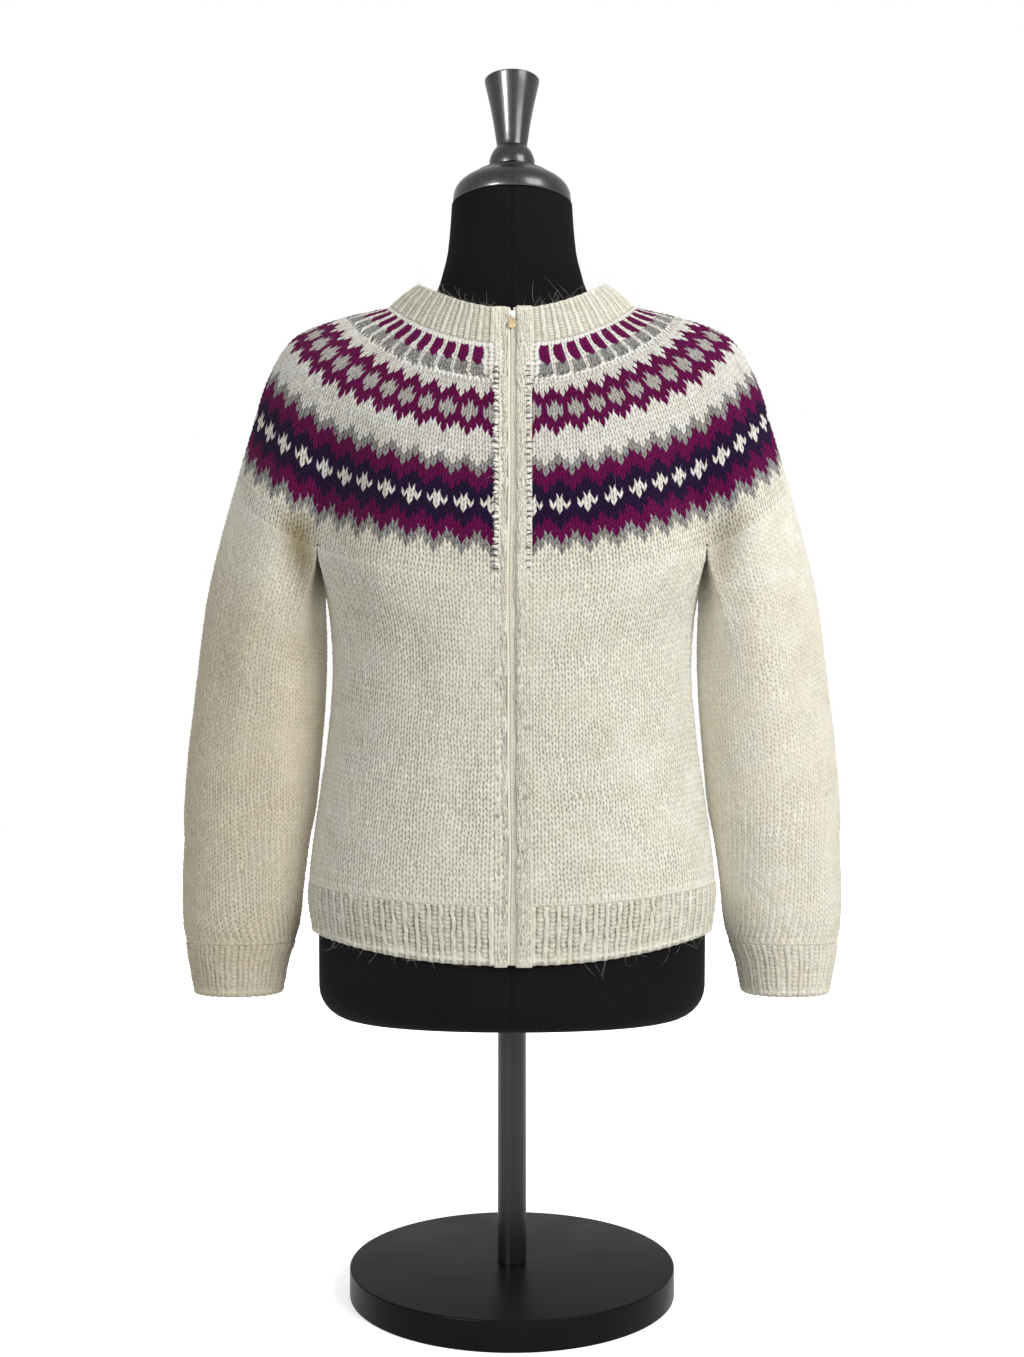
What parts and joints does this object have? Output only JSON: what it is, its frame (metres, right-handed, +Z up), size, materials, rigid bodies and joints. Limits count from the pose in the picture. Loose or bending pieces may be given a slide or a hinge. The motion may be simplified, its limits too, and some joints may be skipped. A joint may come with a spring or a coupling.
{
  "type": "zip-up icelandic sweater on a limbless dress form with a stand",
  "caption": "Cream zip-up wool sweater with a round patterned yoke, worn by a black limbless dress form with a wooden cap and finial, on a pole and a round base.",
  "frame": {"origin": "centre of the round base's underside, on the floor", "axes": "+Z up along the pole; the sweater's front and zip face -Y; +X is on the right of somebody who looks at the front"},
  "size_m": [0.6066, 0.3, 1.1256],
  "materials": {
    "stand_metal": "black powder coat, satin",
    "form_jersey": "black cotton jersey stretched over the form, matt",
    "form_wood": "turned wood, black lacquer, satin",
    "knit_rib": "cream wool, knit-one-purl-one rib, slightly fuzzy",
    "knit_pattern": "stranded wool in cream, greys, plum and dark purple",
    "knit_body": "cream wool stocking stitch, slightly fuzzy",
    "knit_sleeve": "cream wool stocking stitch, slightly fuzzy",
    "zip_tape": "woven cream tape",
    "zip_teeth": "fine cream plastic coil",
    "zip_enamel": "cream enamel, satin",
    "zip_brass": "dull aged brass"
  },
  "bodies": {
    "stand": {"base": "stand_metal", "pole": "stand_metal"},
    "form": {"form_torso": "form_jersey", "neck_cap": "form_wood", "finial": "form_wood", "neckband": "knit_rib", "yoke": "knit_pattern", "body": "knit_body", "hem_rib": "knit_rib", "sleeve_right": "knit_sleeve", "sleeve_left": "knit_sleeve", "cuff_right": "knit_rib", "cuff_left": "knit_rib", "front_band_right": "knit_rib", "front_band_left": "knit_rib", "zip_tape_right": "zip_tape", "zip_tape_left": "zip_tape", "zip_chain": "zip_teeth", "zip_slider": "zip_enamel"},
    "pull": {"zip_pull": "zip_brass"}
  },
  "joints": [
    {"name": "form_swivel", "type": "hinge", "parent": "stand", "child": "form", "pos_m": [0, 0, 0.3], "axis": [0, 0, 1], "continuous": true},
    {"name": "pull_hinge", "type": "hinge", "parent": "form", "child": "pull", "pos_m": [0, -0.07985, 0.88402], "axis": [-1, 0, 0], "range_deg": [0, 165]}
  ]
}
